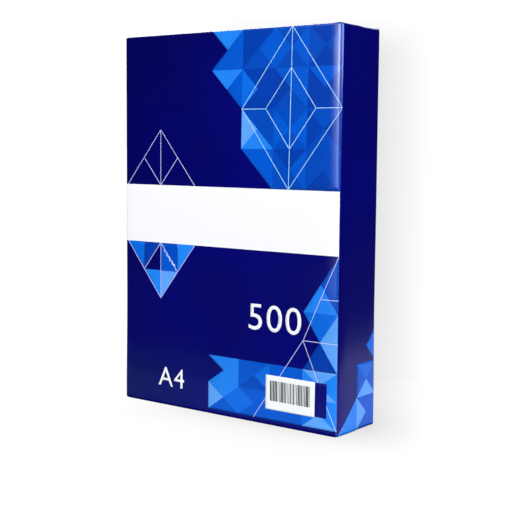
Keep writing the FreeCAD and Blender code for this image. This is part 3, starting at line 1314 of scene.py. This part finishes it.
class REAM_OT_label(bpy.types.Operator):
    """Print the white label with its bars, and the plain tag beside it"""

    bl_idname = "ream.print_label"
    bl_label = "Bar label"

    # Left, lower, right and upper edge of the label
    LABEL = (146.3 * MM, 13.0 * MM, 191.2 * MM, 39.3 * MM)
    TAG_RIGHT = 201.6 * MM
    TAG_RAISED = 0.6 * MM
    BAR_COUNT = 26
    BAR_HEIGHT = 15.5 * MM
    # How far inside the label the bars lie, and their middle above its lower edge
    BAR_INSET = 4.6 * MM
    BAR_MIDDLE = 14.5 * MM

    def execute(self, context):
        left, bottom, right, top = self.LABEL
        shapes = [
            (rectangle(*self.LABEL), 0),
            (rectangle(right, bottom + self.TAG_RAISED, self.TAG_RIGHT, top), 1),
        ]
        label = polygons("label", shapes, [white_ink(), ground_ink_and_painted_shade()])
        lay_print(context, "label", label, layer=3)
        bars = applied(
            bpy.data.meshes.new("bars"), bars_tree(), count=self.BAR_COUNT,
            pitch=(right - left - 2 * self.BAR_INSET) / (self.BAR_COUNT - 1), height=self.BAR_HEIGHT,
            left=left + self.BAR_INSET, middle=bottom + self.BAR_MIDDLE, seed=3,
            ink=plain_ink("black ink", BLACK),
        )
        lay_print(context, "label_bars", bars, layer=4)
        return {"FINISHED"}


def numeral_mesh(text, left, bottom, right, top):
    """Plain numerals as a flat mesh that fills a rectangle."""
    curve = bpy.data.curves.new(text, "FONT")
    curve.body = text
    curve.resolution_u = 6
    curve.space_character = 1.08
    mesh = evaluated_mesh(new_object(text, curve))
    low = Vector(np.min([v.co for v in mesh.vertices], axis=0))
    high = Vector(np.max([v.co for v in mesh.vertices], axis=0))
    fit = Matrix.Diagonal(((right - left) / (high.x - low.x), (top - bottom) / (high.y - low.y), 1, 1))
    mesh.transform(Matrix.Translation((left, bottom, 0)) @ fit @ Matrix.Translation(-low))
    mesh.materials.clear()
    mesh.materials.append(white_ink())
    return mesh


class REAM_OT_numerals(bpy.types.Operator):
    """Print the sheet count and the sheet size"""

    bl_idname = "ream.print_numerals"
    bl_label = "Numerals"

    # Name, text, and left, lower, right and upper edge in millimetres
    NUMERALS = (
        ("count_numerals", "500", (129.3, 72.2, 178.0, 92.4)),
        ("size_numerals", "A4", (37.2, 16.5, 64.6, 32.0)),
    )

    def execute(self, context):
        for name, text, edges in self.NUMERALS:
            flat = numeral_mesh(text, *(value * MM for value in edges))
            lay_print(context, name, flat, layer=3)
        return {"FINISHED"}


def soft_lamp(name, place, target, size, radiance, tint=(1, 1, 1)):
    """A rectangular lamp that faces a target, as bright all over as radiance says."""
    lamp = bpy.data.lights.new(name, "AREA")
    lamp.shape = "RECTANGLE"
    lamp.size, lamp.size_y = size
    lamp.energy = radiance * math.pi * size[0] * size[1]
    lamp.color = tint
    holder = new_object(name, lamp)
    holder.location = place
    holder.rotation_euler = (Vector(target) - Vector(place)).to_track_quat("-Z", "Y").to_euler()
    holder.visible_camera = False
    return holder


def upright_lamp(name, azimuth, spread, low, high, distance, radiance, tint=(1, 1, 1)):
    """An upright lamp that faces the pack. Azimuth 0 is straight in front of it, 90 to its right."""
    turn = math.radians(azimuth)
    middle = (low + high) / 2
    place = (distance * math.sin(turn), -distance * math.cos(turn), middle)
    width = 2 * distance * math.tan(math.radians(spread) / 2)
    return soft_lamp(name, place, (0, 0, middle), (width, high - low), radiance, tint)


# What the stage reflects, besides the white that it glows in: to the pack, and to the camera
STAGE_GREY = (0.02, 0.02, 0.02, 1.0)
STAGE_GREY_SEEN = (0.018, 0.018, 0.018, 1.0)


def pack_shade(make):
    """How much the pack shades the stage: round its foot, and in a soft band behind its right side."""
    x, y, z = make.split(make.own_place())
    beside = distance_past(make, x, *FOOT_SHADE_X)
    before = distance_past(make, y, 0.0, PACK_HIGH.y)
    off_foot = make.vector("LENGTH", make.joined(beside, before, z))
    foot = make.math("POWER", make.ramp(off_foot, FOOT_SHADE_REACH, 0.0), 2.0)
    across = slanted(make, x, y, math.cos(BAND_TURN), math.sin(BAND_TURN))
    along = slanted(make, x, y, -math.sin(BAND_TURN), math.cos(BAND_TURN))
    band = make.ramp(across, *BAND_RIGHT)
    for value, side in ((across, BAND_LEFT), (y, BAND_START), (along, BAND_END), (z, BAND_TOP)):
        band = make.times(band, make.smooth_ramp(value, *side))
    return make.plus(make.times(foot, FOOT_SHADE), make.times(band, BAND_SHADE))


def slanted(make, x, y, x_share, y_share):
    """A coordinate along a slanted direction."""
    return make.plus(make.times(x, x_share), make.times(y, y_share))


def distance_past(make, value, centre, half):
    """How far a coordinate lies outside a stretch about a centre."""
    off = make.math("ABSOLUTE", make.minus(value, centre), 0.0)
    return make.math("MAXIMUM", make.minus(off, half), 0.0)


def floor_card(name, left, right, front, back, radiance, tint):
    """A pale card on the table, which the foot of the pack mirrors."""
    x, y = (left + right) / 2, (front + back) / 2
    card = soft_lamp(name, (x, y, 2 * MM), (x, y, 1.0), (right - left, back - front), radiance, tint)
    card.rotation_euler = (math.pi, 0, 0)
    return card


def background_strength(make, path):
    """1 where the camera sees the background, itself or through glass, and less in gloss."""
    seen = make.math("MAXIMUM", path["Is Camera Ray"], path["Is Transmission Ray"])
    share = bpy.context.scene.ream_stage.background_in_gloss
    return make.math("MAXIMUM", seen, make.times(path["Is Glossy Ray"], share))


def white_stage_material(name):
    """White to the camera apart from the pack's shade, and a quiet grey to everything else."""
    material, shader, make = new_material(name)
    path = make.add("ShaderNodeLightPath").outputs
    paint = make.mix(path["Is Camera Ray"], STAGE_GREY, STAGE_GREY_SEEN)
    glow = make.times(make.minus(1.0, pack_shade(make)), background_strength(make, path))
    for label, value in (
        ("Roughness", 0.9),
        ("Specular IOR Level", 0.0),
        ("Base Color", paint),
        ("Emission Color", (1, 1, 1, 1)),
        ("Emission Strength", glow),
    ):
        make.feed(shader.inputs[label], value)
    return material, shader, make, path


def screen_material():
    """The white of the screen behind the pack. Only the camera sees it, and only from its front."""
    material, shader, make, path = white_stage_material("white screen")
    clear = make.add("ShaderNodeBsdfTransparent")
    facing = make.add("ShaderNodeNewGeometry").outputs["Backfacing"]
    seen = make.times(path["Is Camera Ray"], make.minus(1.0, facing))
    mixed = make.add("ShaderNodeMixShader", in_0=seen, in_1=clear, in_2=shader)
    make.feed(make.tree.nodes["Material Output"].inputs["Surface"], mixed)
    return material


class REAM_OT_stage(bpy.types.Operator):
    """Set up the table, the screen, the lamps and the camera"""

    bl_idname = "ream.set_stage"
    bl_label = "Stage"

    TABLE_RADIUS = 6.0
    SCREEN_DISTANCE = 0.118
    SCREEN_SIZE = (3.0, 1.6)
    # Azimuth, spread and radiance of the lamps in front, which the long fold at the right mirrors
    FRONT_LAMPS = ((-19, 6, 4.0), (-13, 6, 16.0), (-6, 8, 21.0), (12.5, 29, 3.6))
    FRONT_DISTANCE = 1.6
    # Each of them is a bright upper part over a dimmer lower part: low end, high end and share
    FRONT_PARTS = (("softbox", 0.33, 0.74, 1.0), ("reflector", 0.03, 0.33, 0.24))
    # Name, azimuth, spread, low end, high end, distance, radiance and tint of the other upright lamps
    UPRIGHT_LAMPS = (
        ("front fill", -5, 60, 0.8, 1.35, 1.6, 4.3),
        ("right softbox", 80, 48, 0.33, 0.95, 1.6, 9.0, (0.94, 0.93, 1.0)),
        ("back softbox", 215, 50, 0.5, 1.1, 1.8, 3.0),
    )
    # Name, place, target, size and radiance of the lamps above
    HIGH_LAMPS = (
        ("high softbox", (0.1, 1.15, 1.15), (0, 0, 0.2), (1.1, 0.7), 3.5),
        ("left softbox", (-1.1, 0.75, 1.2), (0, 0, 0.15), (1.4, 1.0), 8.0),
    )
    # Left, right, front and back end of each card on the table, its radiance and its tint
    FLOOR_CARDS = (
        (0.108, 0.279, -0.08, 0.45, 0.6, (0.85, 0.87, 1.0)),
        (0.279, 0.32, -0.08, 0.45, 0.28, (0.85, 0.87, 1.0)),
        (0.32, 0.37, -0.08, 0.5, 0.08, (0.85, 0.87, 1.0)),
        (-0.3, 0.106, -0.12, -0.029, 0.22, (0.6, 0.95, 1.0)),
        (-0.3, 0.106, -0.22, -0.12, 0.1, (0.6, 0.95, 1.0)),
        (-0.36, 0.0, -1.55, -0.7, 1.6, (0.85, 0.87, 1.0)),
    )
    # What of the background still lights the pack
    WORLD_LIGHT = 0.02

    def execute(self, context):
        stage = context.scene.ream_stage
        self.make_table()
        self.make_screen(stage)
        self.make_lamps()
        self.make_world(context.scene)
        self.make_camera(context.scene, stage)
        return {"FINISHED"}

    def add_to_stage(self, mesh, material):
        """A thing that the pack stands on or before, made of a mesh and a material."""
        mesh.materials.append(material)
        new_object(mesh.name, mesh)

    def make_table(self):
        work = bmesh.new()
        bmesh.ops.create_circle(work, cap_ends=True, segments=96, radius=self.TABLE_RADIUS)
        mesh = bpy.data.meshes.new("table")
        work.to_mesh(mesh)
        work.free()
        self.add_to_stage(mesh, white_stage_material("white table")[0])

    def make_screen(self, stage):
        width, height = self.SCREEN_SIZE
        turn = Matrix.Rotation(stage.camera_turn, 4, "Z")
        corners = rectangle(-width / 2, 0, width / 2, height)
        points = [turn @ Vector((x, self.SCREEN_DISTANCE, z)) for x, z in corners]
        self.add_to_stage(new_mesh("screen", points, [], [(0, 1, 2, 3)]), screen_material())

    def make_lamps(self):
        for number, (azimuth, spread, radiance) in enumerate(self.FRONT_LAMPS, start=1):
            for part, low, high, share in self.FRONT_PARTS:
                name = f"front {part} {number}"
                upright_lamp(name, azimuth, spread, low, high, self.FRONT_DISTANCE, radiance * share)
        for lamp in self.UPRIGHT_LAMPS:
            upright_lamp(*lamp)
        for lamp in self.HIGH_LAMPS:
            soft_lamp(*lamp)
        for number, card in enumerate(self.FLOOR_CARDS, start=1):
            floor_card(f"floor card {number}", *card)

    def make_world(self, scene):
        world = bpy.data.worlds.new("studio")
        world.use_nodes = True
        make = Nodes(world.node_tree)
        background = world.node_tree.nodes["Background"]
        path = make.add("ShaderNodeLightPath").outputs
        strength = make.math("MAXIMUM", background_strength(make, path), self.WORLD_LIGHT)
        background.inputs["Color"].default_value = (1, 1, 1, 1)
        make.feed(background.inputs["Strength"], strength)
        scene.world = world

    def make_camera(self, scene, stage):
        lens = bpy.data.cameras.new("camera")
        lens.lens = stage.lens
        lens.sensor_width = 36.0
        camera = new_object("camera", lens)
        camera.matrix_world = (
            Matrix.Translation(stage.camera_place)
            @ Matrix.Rotation(stage.camera_turn, 4, "Z")
            @ Matrix.Rotation(math.pi / 2 - stage.camera_tilt, 4, "X")
            @ Matrix.Rotation(stage.camera_roll, 4, "Z")
        )
        scene.camera = camera
        scene.view_settings.view_transform = "Standard"


class REAM_PT_panel(bpy.types.Panel):
    """Lists the pieces of the ream"""

    bl_label = "Paper ream"
    bl_idname = "REAM_PT_panel"
    bl_space_type = "VIEW_3D"
    bl_region_type = "UI"
    bl_category = "Ream"

    def draw(self, context):
        for operator in OPERATORS:
            self.layout.operator(operator.bl_idname)
        for group in ("ream_wrapper", "ream_print", "ream_stage"):
            box = self.layout.box()
            settings = getattr(context.scene, group)
            for name in type(settings).__annotations__:
                box.prop(settings, name)


OPERATORS = (
    REAM_OT_wrapper,
    REAM_OT_folds,
    REAM_OT_mosaic,
    REAM_OT_outlines,
    REAM_OT_label,
    REAM_OT_numerals,
    REAM_OT_stage,
)
SETTINGS = (ReamWrapperSettings, ReamPrintSettings, ReamStageSettings)


def register():
    for cls in (*SETTINGS, *OPERATORS, REAM_PT_panel):
        bpy.utils.register_class(cls)
    bpy.types.Scene.ream_wrapper = PointerProperty(type=ReamWrapperSettings)
    bpy.types.Scene.ream_print = PointerProperty(type=ReamPrintSettings)
    bpy.types.Scene.ream_stage = PointerProperty(type=ReamStageSettings)


def unregister():
    del bpy.types.Scene.ream_stage
    del bpy.types.Scene.ream_print
    del bpy.types.Scene.ream_wrapper
    for cls in reversed((*SETTINGS, *OPERATORS, REAM_PT_panel)):
        bpy.utils.unregister_class(cls)


def main():
    register()
    bpy.ops.ream.make_wrapper()
    bpy.ops.ream.make_folds()
    bpy.ops.ream.print_mosaic()
    bpy.ops.ream.print_outlines()
    bpy.ops.ream.print_label()
    bpy.ops.ream.print_numerals()
    bpy.ops.ream.set_stage()


if __name__ == "__main__":
    main()
